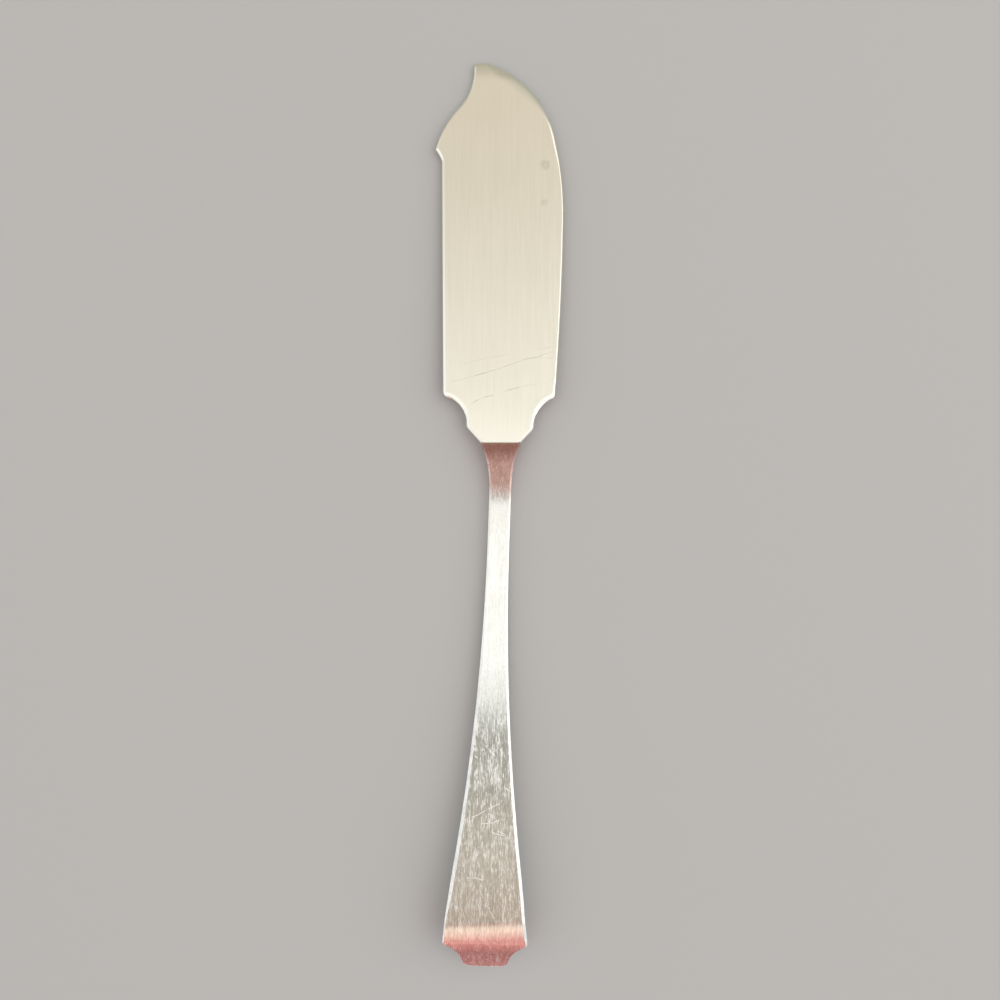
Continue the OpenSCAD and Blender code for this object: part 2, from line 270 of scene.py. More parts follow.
def draw_out(bm, face, width, height, length):
    """Narrows a face to width by height and draws it out along the bar, as a tang or a slot for it."""
    tall = max(v.co.z for v in face.verts) - min(v.co.z for v in face.verts)
    bmesh.ops.inset_region(bm, faces=[face], thickness=(tall - height) / 2, use_even_offset=True)
    wide = max(v.co.x for v in face.verts) - min(v.co.x for v in face.verts)
    bmesh.ops.scale(bm, verts=face.verts[:], vec=(width / wide, 1, 1))
    for i in range(TANG_STEPS):
        d0, d1 = length * i / TANG_STEPS, length * (i + 1) / TANG_STEPS
        move = Vector((middle_x(d1) - middle_x(d0), d0 - d1, middle_z(d1) - middle_z(d0)))
        face = bmesh.ops.extrude_discrete_faces(bm, faces=[face])["faces"][0]
        bmesh.ops.translate(bm, verts=face.verts[:], vec=move)


def finish_piece(bm, name, node, material):
    """Settles a piece at its resting place, gives it its brushing map, finish and body, and hides the CAD
    node it stands in for.
    """
    bmesh.ops.remove_doubles(bm, verts=bm.verts[:], dist=WELD_GAP)
    bmesh.ops.recalc_face_normals(bm, faces=bm.faces[:])
    brushing = bm.loops.layers.uv.new("brushing")
    for face in bm.faces:
        face.smooth = True
        for loop in face.loops:
            loop[brushing].uv = (loop.vert.co.x / 100 + 0.5, loop.vert.co.y / 200 + 0.5)
    upper = bm.verts.layers.float.new("upper")
    for v in bm.verts:
        v[upper] = float(v.normal.z > 0.2)
    for edge in bm.edges:
        edge.smooth = edge.calc_face_angle(0) < SHARP_TURN
    bmesh.ops.transform(bm, matrix=SETTLED, verts=bm.verts[:])
    mesh = bpy.data.meshes.new(name)
    bm.to_mesh(mesh)
    bm.free()
    piece = bpy.data.objects.new(name, mesh)
    bpy.context.scene.collection.objects.link(piece)
    mesh.materials.append(material)
    weighted = piece.modifiers.new("even_faces", "WEIGHTED_NORMAL")
    weighted.keep_sharp = True
    weighted.weight = 80
    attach(piece, "root")
    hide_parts(node)
    return piece


# The three pieces

def make_blade(material):
    """Draws the outline from the joint up the cutting edge and down the spine, then shapes the rim."""
    bm = bmesh.new()
    first = bm.verts.new((JOINT_W / 2, SOLDER_GAP, 0))
    last = carry_line(bm, first, WAIST_EDGE, COVE_EDGE)
    last = carry_arc(bm, last, HEEL_EDGE, -COVE_EDGE_RISE, steps=16)
    last = carry_arc(bm, last, FOOT_EDGE, HEEL_EDGE_RISE, steps=6)
    last = carry_arc(bm, last, BELLY, EDGE_RISE, steps=40)
    last = carry_arc(bm, last, SWEEP, BELLY_RISE, steps=24)
    last = carry_arc(bm, last, TIP_EDGE, SWEEP_RISE, steps=44)
    last = carry_line(bm, last, TIP_SPINE)
    last = carry_arc(bm, last, BEAK, TIP_CORNER_RISE, steps=9)
    last = carry_arc(bm, last, CLIP, -CLIP_RISE, steps=22)
    last = carry_arc(bm, last, NOTCH_TOP, HOOK_RISE, steps=24)
    last = carry_arc(bm, last, NOTCH_FOOT, -NOTCH_RISE, steps=8)
    last = carry_line(bm, last, FOOT_SPINE)
    last = carry_arc(bm, last, HEEL_SPINE, HEEL_SPINE_RISE, steps=8)
    last = carry_arc(bm, last, COVE_SPINE, -COVE_SPINE_RISE, steps=16)
    last = carry_line(bm, last, WAIST_SPINE, (-JOINT_W / 2, SOLDER_GAP))
    close_outline(bm, last, first)
    corners = [WAIST_EDGE, WAIST_SPINE, TIP_EDGE]
    soft = [v for v in bm.verts if any((v.co.xy - Vector(c)).length < 1e-4 for c in corners)]
    bmesh.ops.bevel(
        bm, geom=soft, offset=CORNER_ROUND, segments=3, profile=0.5, affect="VERTICES", material=-1
    )
    thicken(bm, BLADE_T)
    rim = rim_edges(bm, SOLDER_GAP)
    bmesh.ops.bevel(
        bm, geom=rim, offset=BLADE_ROUND, segments=RIM_STEPS, profile=0.5, affect="EDGES", material=-1
    )
    spread_tip_rim(bm)
    roll_rim(bm, COVE_EDGE, HEEL_EDGE, -COVE_EDGE_RISE, SOFT_RIM, none_at=0.15, full_at=0.5)
    roll_rim(bm, HEEL_EDGE, FOOT_EDGE, HEEL_EDGE_RISE, SOFT_RIM, none_at=0.8, full_at=0.0)
    roll_rim(bm, FOOT_EDGE, BELLY, EDGE_RISE, CRISP_RIM, none_at=0.0, full_at=0.1)
    roll_rim(bm, BELLY, SWEEP, BELLY_RISE, CRISP_RIM, none_at=1.0, full_at=0.6)
    roll_rim(bm, FOOT_SPINE, HEEL_SPINE, HEEL_SPINE_RISE, SOFT_RIM, none_at=0.0, full_at=0.55, past=0.1)
    roll_rim(bm, HEEL_SPINE, COVE_SPINE, -COVE_SPINE_RISE, SOFT_RIM, none_at=0.85, full_at=0.5)
    for way in (1, -1):
        broad = end_face(bm, Vector((0, 0, way)))
        bmesh.ops.inset_region(bm, faces=[broad], thickness=RIM_BAND, use_even_offset=True)
    hone_tip(bm)
    draw_out(bm, end_face(bm, Vector((0, -1, 0))), TANG_W, TANG_T, TANG_L)
    return finish_piece(bm, "blade_back_up", "blade", material)


def spread_tip_rim(bm):
    """Widens the rounding of the cutting edge along the sweep, where the blade is honed thinner."""
    centre, radius = arc_centre(SWEEP, TIP_EDGE, SWEEP_RISE)
    start = atan2(SWEEP[1] - centre.y, SWEEP[0] - centre.x)
    stop = atan2(TIP_EDGE[1] - centre.y, TIP_EDGE[0] - centre.x)
    for v in bm.verts:
        out = v.co.xy - centre
        share = (atan2(out.y, out.x) - start) / (stop - start)
        depth = radius - out.length
        if 0 < share < 1 and 1e-4 < depth < RIM_REACH:
            wide = 1 + HONE_SPREAD * ease(0.15, 0.6, share) * ease(0.99, 0.85, share)
            v.co.xy = centre + out.normalized() * (radius - depth * wide)


def hone_tip(bm):
    """Lets the upper face fall away over the last of the blade, up to its tip."""
    start = TIP_EDGE[1] - HONE_L
    for y in stations(start, TIP_EDGE[1] - BLADE_ROUND, pitch=0.2)[:-1]:
        cut_across(bm, -y)
    for v in bm.verts:
        if v.co.y > start and v.co.z > 0:
            v.co.z *= 1 - HONE_DROP * ((v.co.y - start) / HONE_L) ** 2 / (BLADE_T / 2)


def roll_rim(bm, start, stop, rise, profile, none_at, full_at, past=0.0):
    """Gives the rim along an arc of the outline, and a share past its end, another profile than the rest.

    The profile is in force at the share full_at of the way and not at all at none_at.
    """
    centre, radius = arc_centre(start, stop, rise)
    aside = (Vector(start) - centre).normalized()
    whole = aside.angle_signed(Vector(stop) - centre)
    for v in bm.verts:
        out = v.co.xy - centre
        share = aside.angle_signed(out, 0.0) / whole
        depth = radius - copysign(out.length, radius)
        drop = max(0.0, BLADE_T / 2 - abs(v.co.z))
        if 0 < share <= 1.0001 + past and 1e-4 < depth < RIM_REACH and drop < BLADE_ROUND:
            level = round(acos(1 - drop / BLADE_ROUND) / radians(90 / RIM_STEPS))
            weight = ease(none_at, full_at, share)
            depth += weight * (profile[level][0] - depth)
            drop += weight * (profile[level][1] - drop)
            v.co.xy = centre + out.normalized() * abs(radius - depth)
            v.co.z = copysign(BLADE_T / 2 - drop, v.co.z)


def make_handle(material):
    """Draws half of a flat blank and mirrors it, then cuts rows across it, bevels it and bends it."""
    bm = bmesh.new()
    square = stations(0, CREASE_AT - CREASE_L, pitch=0.8)
    rows = square + stations(CREASE_AT - CREASE_L, CORNER_D, pitch=0.5)[1:]
    flank = [(flank_w(d), -d) for d in rows]
    first = bm.verts.new((*flank[0], 0))
    last = carry_line(bm, first, *flank[1:])
    last = carry_quarter(bm, last, (CORNER_X, -SHOULDER_D), steps=8)
    last = carry_arc(bm, last, (LIP_W / 2, LIP_CORNER_L - HANDLE_L), LIP_COVE_RISE, steps=14)
    last = carry_quarter(bm, last, (LIP_W / 2 - LIP_CORNER_W, -HANDLE_L), steps=10)
    half = bm.verts[:] + bm.edges[:]
    bmesh.ops.mirror(bm, geom=half, axis="X", merge_dist=-1)
    ends = [v for v in bm.verts if len(v.link_edges) == 1]
    bm.edges.new([v for v in ends if v.co.y > -1])
    bm.edges.new([v for v in ends if v.co.y < -1])
    bmesh.ops.contextual_create(bm, geom=bm.edges[:])
    for d in square[1:]:
        cut_across(bm, d)
    thicken(bm, BLANK_T)
    rim = rim_edges(bm, 0)
    bmesh.ops.bevel(
        bm, geom=rim, offset=CHAMFER, segments=1, profile=0.5, affect="EDGES", material=-1, loop_slide=True
    )
    skewed = stations(CREASE_AT - 0.6, CREASE_AT, pitch=0.3)
    skewed += stations(CREASE_AT, CREASE_AT + CREASE_L, pitch=0.11)[1:]
    skewed += stations(CREASE_AT + CREASE_L, CORNER_D - 0.4, pitch=0.25)[1:]
    for d in skewed:
        cut_across(bm, d, CREASE_SKEW)
    for d in stations(CORNER_D + 0.3, HANDLE_L - LIP_CORNER_L, pitch=0.3):
        cut_across(bm, d)
    for v in bm.verts:
        shape_bar(v)
    slot_w, slot_t = TANG_W + 2 * SOLDER_GAP, TANG_T + 2 * SOLDER_GAP
    draw_out(bm, end_face(bm, Vector((0, 1, 0))), slot_w, slot_t, TANG_L + SOLDER_GAP)
    return finish_piece(bm, "bowed_handle", "handle", material)


def bevel_w(d, x):
    """Width of the bevel along a flank: it grows from the neck, and fades early on the spine side."""
    flare = max(0.0, min(1.0, (d - FLARE_FROM) / FLARE_RUN))
    if x > 0:
        wide = EDGE_BEVEL_W * (1 - EDGE_BEVEL_FADE * ease(SHOULDER_D - 2.2, SHOULDER_D - 0.6, d))
    else:
        wide = SPINE_BEVEL_W * (1 - SPINE_BEVEL_FADE * ease(CREASE_AT - 6, CREASE_AT + 2, d))
    return NECK_BEVEL_W + (wide - NECK_BEVEL_W) * flare


def shape_bar(v):
    """Moves a point of the flat blank: draws the bevels to their width, thins the bar and bends it."""
    d, x = -v.co.y, abs(v.co.x)
    bevel, slope = bevel_w(d, v.co.x), BEVEL_SLOPE
    if d <= CORNER_D:
        inside = flank_w(d) - x
        if 0.5 * CHAMFER < inside < 1.5 * CHAMFER:
            x = flank_w(d) - inside * bevel / CHAMFER
    else:
        share = atan2(d - CORNER_D, max(1e-6, x - CORNER_X)) / (pi / 2)
        bevel += (CHAMFER - bevel) * ease(0.3, 1, share)
        slope += (LIP_RIM_SLOPE - slope) * ease(0.3, 1, share)
        reach = hypot(x - CORNER_X, d - CORNER_D)
        inside = SHOULDER_R - reach
        if share < 0.98 and 0.5 * CHAMFER < inside < 1.5 * CHAMFER:
            shrink = (SHOULDER_R - inside * bevel / CHAMFER) / reach
            x = CORNER_X + (x - CORNER_X) * shrink
            d = CORNER_D + (d - CORNER_D) * shrink
    u, lean = copysign(x, v.co.x), lean_at(d)
    z = bar_t(d) / 2 - (BLANK_T / 2 - abs(v.co.z)) * slope * bevel / CHAMFER
    z = middle_z(d, u) + (z - neck_dip(d) if v.co.z > 0 else -z)
    v.co = (middle_x(d) + u * cos(lean), -d - u * sin(lean), z)


def make_solder_seam(material):
    """Draws the seam's section, from its lower fillet to its upper one, and extrudes it across the neck."""
    bm = bmesh.new()
    face_h = BLADE_T / 2
    row = [(0, -face_h - SOLDER_FILLET), (FILLET_Y, -face_h), (SOLDER_GAP, SEAM_TOE - face_h)]
    row += [(SOLDER_GAP, face_h - SEAM_TOE), (FILLET_Y, face_h), (0, face_h + SOLDER_FILLET)]
    side = bm.faces.new([bm.verts.new((-SEAM_W / 2, y, z)) for y, z in row])
    drawn = bmesh.ops.extrude_face_region(bm, geom=[side])["geom"]
    far_side = [v for v in drawn if isinstance(v, bmesh.types.BMVert)]
    bmesh.ops.translate(bm, verts=far_side, vec=(SEAM_W, 0, 0))
    bmesh.ops.recalc_face_normals(bm, faces=bm.faces[:])
    arris = [e for e in bm.edges if max(v.co.y for v in e.verts) > FILLET_Y - 1e-4]
    bmesh.ops.bevel(
        bm, geom=arris, offset=SEAM_ARRIS, segments=2, profile=0.5, affect="EDGES", material=-1
    )
    fill = 2 * SOLDER_GAP - SEAM_SLACK
    depth = TANG_L + SOLDER_GAP - SEAM_SLACK
    draw_out(bm, end_face(bm, Vector((0, -1, 0))), TANG_W + fill, TANG_T + fill, depth)
    return finish_piece(bm, "solder_line", "solder_seam", material)


# Finishes

def fill_socket(tree, socket, value):
    """Links a socket to another one, or sets it to a plain value."""
    if isinstance(value, bpy.types.NodeSocket):
        tree.links.new(value, socket)
    else:
        socket.default_value = value


def put(tree, kind, inputs=None, **settings):
    """Adds a node, sets it and fills its inputs with values or links."""
    made = tree.nodes.new(kind)
    for name, value in settings.items():
        setattr(made, name, value)
    for key, value in (inputs or {}).items():
        fill_socket(tree, made.inputs[key], value)
    return made


def sums(tree, operation, *values):
    return put(tree, "ShaderNodeMath", dict(enumerate(values)), operation=operation).outputs[0]


def vectors(tree, operation, *values):
    made = put(tree, "ShaderNodeVectorMath", dict(enumerate(values)), operation=operation)
    return made.outputs["Value"] if operation in ("DOT_PRODUCT", "DISTANCE") else made.outputs[0]


def smooth_range(tree, value, low, high, to_low=0.0, to_high=1.0):
    inputs = {"Value": value, "From Min": low, "From Max": high, "To Min": to_low, "To Max": to_high}
    return put(tree, "ShaderNodeMapRange", inputs, interpolation_type="SMOOTHSTEP").outputs[0]


def noise(tree, place, scale, detail):
    return put(tree, "ShaderNodeTexNoise", {"Vector": place, "Scale": scale, "Detail": detail}).outputs[0]


def turned_by(tree, place, degrees):
    inputs = {"Vector": place, "Rotation": (0, 0, radians(degrees))}
    return put(tree, "ShaderNodeMapping", inputs).outputs[0]


def mixed(tree, factor, a, b):
    """Mixes two colours, each a link or a plain red, green and blue."""
    made = put(tree, "ShaderNodeMix", {"Factor": factor}, data_type="RGBA")
    for key, value in (("A_Color", a), ("B_Color", b)):
        socket = next(s for s in made.inputs if s.identifier == key)
        fill_socket(tree, socket, (*value, 1) if isinstance(value, tuple) else value)
    return next(s for s in made.outputs if s.identifier == "Result_Color")


def new_group(name, inputs, outputs):
    """Makes a node group with named sockets and returns it with its inner ends."""
    group = bpy.data.node_groups.new(name, "ShaderNodeTree")
    for label, kind, value in inputs:
        group.interface.new_socket(label, in_out="INPUT", socket_type=kind).default_value = value
    for label in outputs:
        group.interface.new_socket(label, in_out="OUTPUT", socket_type="NodeSocketFloat")
    return group, group.nodes.new("NodeGroupInput").outputs, group.nodes.new("NodeGroupOutput").inputs


def use(tree, group, **inputs):
    """Places a node group and returns its outputs."""
    made = tree.nodes.new("ShaderNodeGroup")
    made.node_tree = group
    for label, value in inputs.items():
        fill_socket(tree, made.inputs[label], value)
    return made.outputs


FLOAT, VECTOR = "NodeSocketFloat", "NodeSocketVector"
PLACE = ("Place", VECTOR, (0, 0, 0))


def brushing_group():
    """Lengthwise brushing: long narrow grooves of a width and length in millimetres."""
    group, given, out = new_group(
        "lengthwise_brushing", [PLACE, ("Width", FLOAT, 0.2), ("Length", FLOAT, 5.0)], ["Grooves"]
    )
    across = sums(group, "DIVIDE", MM, given["Width"])
    along = sums(group, "DIVIDE", MM, given["Length"])
    scale = put(group, "ShaderNodeCombineXYZ", {0: across, 1: along, 2: across}).outputs[0]
    place = vectors(group, "MULTIPLY", given["Place"], scale)
    broad = noise(group, place, scale=0.5, detail=0.0)
    fine = noise(group, place, scale=1.7, detail=1.0)
    grooves = sums(group, "MULTIPLY_ADD", broad, 0.3, sums(group, "MULTIPLY", fine, 0.7))
    group.links.new(grooves, out["Grooves"])
    return group


def scratch_group():
    """One straight scratch: its side and way, its middle along both, its half length and its width."""
    lie = [("Side", VECTOR, (1, 0, 0)), ("Way", VECTOR, (0, 1, 0))]
    lie += [("Side Middle", FLOAT, 0), ("Way Middle", FLOAT, 0), ("Half Length", FLOAT, 1)]
    group, given, out = new_group("scratch", [PLACE, *lie, ("Width", FLOAT, 0.1)], ["Mask"])
    across = vectors(group, "DOT_PRODUCT", given["Place"], given["Side"])
    across = sums(group, "SUBTRACT", across, given["Side Middle"])
    along = vectors(group, "DOT_PRODUCT", given["Place"], given["Way"])
    along = sums(group, "SUBTRACT", along, given["Way Middle"])
    beyond = sums(group, "SUBTRACT", sums(group, "ABSOLUTE", along), given["Half Length"])
    gap = sums(group, "MAXIMUM", sums(group, "ABSOLUTE", across), beyond)
    group.links.new(smooth_range(group, gap, given["Width"], 0.0), out["Mask"])
    return group


def stain_group():
    """One dulled round spot with a darker ring, of a radius in millimetres."""
    group, given, out = new_group(
        "dull_spot", [PLACE, ("Centre", VECTOR, (0, 0, 0)), ("Radius", FLOAT, 0.8)], ["Mask"]
    )
    gap = sums(group, "MULTIPLY", vectors(group, "DISTANCE", given["Place"], given["Centre"]), MM)
    share = sums(group, "DIVIDE", gap, given["Radius"])
    ragged = noise(group, given["Place"], scale=1300.0, detail=2.0)
    share = sums(group, "MULTIPLY_ADD", ragged, 0.6, sums(group, "SUBTRACT", share, 0.3))
    disc = smooth_range(group, share, 1.25, 0.45)
    ring = smooth_range(group, share, 0.0, 0.7, 0.65, 1.0)
    group.links.new(sums(group, "MULTIPLY", disc, ring), out["Mask"])
    return group


def haze_group():
    """Cloudy handling marks of a size in millimetres."""
    group, given, out = new_group("handling_haze", [PLACE, ("Size", FLOAT, 8.0)], ["Mask"])
    cloud = noise(group, given["Place"], scale=sums(group, "DIVIDE", MM, given["Size"]), detail=4.0)
    group.links.new(smooth_range(group, cloud, 0.35, 0.68), out["Mask"])
    return group


def blade_spot(x, y):
    """Place on the upper face of the blade, in the part's frame."""
    return SETTLED @ Vector((x, y, BLADE_T / 2))


def handle_spot(x, d):
    """Place on the upper face of the handle, in the part's frame."""
    return SETTLED @ Vector((x, -d, middle_z(d) + bar_t(d) / 2))


def scratches(tree, group, place, rows, spot, width):
    """Mask of rows of joined scratches on the upper face, ragged and broken along their length."""
    ragged = noise(tree, place, scale=1800.0, detail=2.0)
    width = sums(tree, "MULTIPLY", sums(tree, "ADD", ragged, 0.1), width)
    broken = noise(tree, place, scale=1300.0, detail=1.0)
    mask = 0.0
    for row in rows:
        places = [spot(*mark).xy * MM for mark in row]
        for a, b in zip(places, places[1:]):
            way, middle = (b - a).normalized(), (a + b) / 2
            side = Vector((-way.y, way.x))
            lie = {"Side": (*side * MM, 0), "Way": (*way * MM, 0), "Half Length": (b - a).length / 2}
            lie |= {"Side Middle": side.dot(middle), "Way Middle": way.dot(middle)}
            mask = sums(tree, "MAXIMUM", mask, use(tree, group, Place=place, Width=width, **lie)["Mask"])
    upper = put(tree, "ShaderNodeAttribute", attribute_name="upper").outputs["Fac"]
    mask = sums(tree, "MULTIPLY", mask, upper)
    return sums(tree, "MULTIPLY", smooth_range(tree, broken, 0.36, 0.6, 0.15, 1.0), mask)


def toward_joint(tree, along, far, near, to_far, to_near):
    """Changes smoothly up the handle between two distances from the joint, in millimetres."""
    joint = (SETTLED @ Vector((0, 0, NECK_T / 2))).y
    return smooth_range(tree, along, joint - far / MM, joint - near / MM, to_far, to_near)


def new_finish(name):
    """Starts a metal finish whose sheen follows the brushing map."""
    material = bpy.data.materials.new(name)
    material.use_nodes = True
    tree = material.node_tree
    tree.nodes.clear()
    shader = tree.nodes.new("ShaderNodeBsdfPrincipled")
    shader.inputs["Metallic"].default_value = 1.0
    out = tree.nodes.new("ShaderNodeOutputMaterial")
    tree.links.new(shader.outputs[0], out.inputs["Surface"])
    tangent = put(tree, "ShaderNodeTangent", direction_type="UV_MAP", uv_map="brushing")
    tree.links.new(tangent.outputs[0], shader.inputs["Tangent"])
    place = tree.nodes.new("ShaderNodeTexCoord").outputs["Object"]
    return material, tree, shader, place


BRUSHING, SCRATCH, STAIN, HAZE = brushing_group(), scratch_group(), stain_group(), haze_group()

# Marks on the blade, by x and y, and on the handle, by x and the distance down from the joint
BLADE_SCRATCHES = [
    [(-4.7, 11.05), (-2.8, 11.6), (0.15, 12.45), (1.6, 13.05), (4.55, 14.05), (6.05, 14.25), (7.05, 14.7)],
    [(-5.0, 6.3), (-4.65, 6.65), (-3.4, 7.35), (-2.2, 7.75), (-1.25, 7.9)],
    [(0.45, 8.55), (1.3, 8.85), (2.5, 9.15), (3.95, 9.45)],
]
BLADE_FAINT_SCRATCHES = [
    [(-8.2, 10.2), (-6.8, 10.45), (-4.7, 11.05)],
    [(7.05, 14.7), (8.7, 15.15)],
    [(6.05, 14.2), (6.9, 14.2), (8.7, 14.05)],
    [(3.95, 9.45), (6.05, 9.85)],
    [(1.15, 8.65), (2.05, 8.9), (2.85, 9.15)],
    [(-6.2, 13.15), (-3.1, 13.9), (0.9, 14.65)],
    [(4.65, 6.55), (7.2, 7.9)],
    [(5.9, 15.45), (8.85, 16.05)],
    [(0.45, 6.05), (1.2, 6.15)],
    [(8.05, 10.5), (8.85, 10.8)],
]
HANDLE_SCRATCHES = [
    [(-2.55, 49.6), (-1.75, 50.35), (-0.95, 51.2)],
    [(-4.4, 51.1), (-3.8, 51.6)],
    [(-4.6, 61.1), (-3.7, 60.75), (-2.65, 60.15), (-1.4, 59.55), (-0.25, 58.95), (0.3, 58.35)]
    + [(0.6, 57.8), (0.9, 56.45)],
    [(0.9, 56.45), (1.6, 57.05)],
    [(-3.15, 62.15), (-1.4, 62.05), (-0.3, 61.6)],
    [(-1.5, 63.45), (-0.35, 63.9), (0.75, 64.05)],
    [(-0.5, 63.25), (0.75, 63.9)],
    [(-5.45, 70.75), (-3.95, 70.75), (-2.95, 71.1)],
    [(-3.8, 72.6), (-3.85, 75.7)],
    [(-3.25, 72.8), (-2.8, 73.9), (-2.25, 75.2)],
    [(-1.9, 75.4), (-0.75, 77.9)],
    [(1.8, 62.0), (1.45, 64.4)],
    [(-1.55, 69.05), (-1.05, 70.25)],
    [(-6.35, 65.75), (-5.3, 64.9)],
    [(0.75, 73.65), (1.1, 75.35)],
    [(-0.65, 83.9), (-0.25, 84.7)],
]
RUBBED_SPOT, RUBBED_STREAK = (-1.7, 54.2), [(-6.2, 68.3), (1.2, 64.4)]
DEEP_W, FAINT_W, NICK_W, RUBBED_W = 0.15, 0.14, 0.16, 2.4
# Dull spots on the blade: x, y, radius and strength
BLADE_SPOTS = [(7.45, 46.35, 0.9, 1.0), (7.2, 40.05, 0.65, 0.6)]

SATIN, HAZED_SATIN, GROOVE_GREY = (0.93, 0.9, 0.83), (0.91, 0.885, 0.81), (0.7, 0.68, 0.6)
DEEP_GREY, FAINT_GREY, SPOT_GREY = (0.42, 0.39, 0.32), (0.5, 0.46, 0.38), (0.52, 0.5, 0.42)
BRIGHT, HAZED_BRIGHT, RUBBED_BRIGHT = (0.95, 0.935, 0.885), (0.86, 0.85, 0.81), (1.0, 0.99, 0.94)
# The third grey on this row is painted shade for the neck, not a colour of the silver.
GRAIN_GREY, LINE_GREY, NECK_SHADE_GREY = (0.58, 0.57, 0.54), (0.57, 0.56, 0.52), (0.66, 0.64, 0.6)
# The rose and brown tarnish colours are partly tarnish by the solder joint and partly a painted reflection of
# the warm card and its darker band in the neck.
ROSE_TARNISH_AND_REFLECTION, BROWN_TARNISH_AND_REFLECTION, GRIME = (0.62, 0.38, 0.34), (0.31, 0.18, 0.155), (0.38, 0.3, 0.25)
SOLDER_DARK, SOLDER_PALE = (0.3, 0.25, 0.21), (0.6, 0.54, 0.47)


def blade_finish():
    material, tree, shader, place = new_finish("satin_silver_blade")
    fine = use(tree, BRUSHING, Place=place, Width=0.22, Length=14.0)["Grooves"]
    haze = use(tree, HAZE, Place=place, Size=14.0)["Mask"]
    deep = scratches(tree, SCRATCH, place, BLADE_SCRATCHES, blade_spot, DEEP_W)
    faint = scratches(tree, SCRATCH, place, BLADE_FAINT_SCRATCHES, blade_spot, FAINT_W)
    spots = 0.0
    for x, y, radius, strength in BLADE_SPOTS:
        spot = use(tree, STAIN, Place=place, Centre=blade_spot(x, y), Radius=radius)["Mask"]
        spots = sums(tree, "MAXIMUM", sums(tree, "MULTIPLY", spot, strength), spots)
    silver = mixed(tree, haze, SATIN, HAZED_SATIN)
    silver = mixed(tree, smooth_range(tree, fine, 0.35, 0.65, 0.06, 0.0), silver, GROOVE_GREY)
    silver = mixed(tree, sums(tree, "MULTIPLY", deep, 0.6), silver, DEEP_GREY)
    silver = mixed(tree, sums(tree, "MULTIPLY", faint, 0.3), silver, FAINT_GREY)
    silver = mixed(tree, sums(tree, "MULTIPLY", spots, 0.35), silver, SPOT_GREY)
    tree.links.new(silver, shader.inputs["Base Color"])
    rough = smooth_range(tree, fine, 0.3, 0.7, 0.17, 0.21)
    tree.links.new(rough, shader.inputs["Roughness"])
    height = sums(tree, "SUBTRACT", fine, deep)
    bump = put(tree, "ShaderNodeBump", {"Strength": 0.6, "Distance": 0.0000015, "Height": height})
    tree.links.new(bump.outputs[0], shader.inputs["Normal"])
    shader.inputs["Anisotropic"].default_value = 0.7
    return material


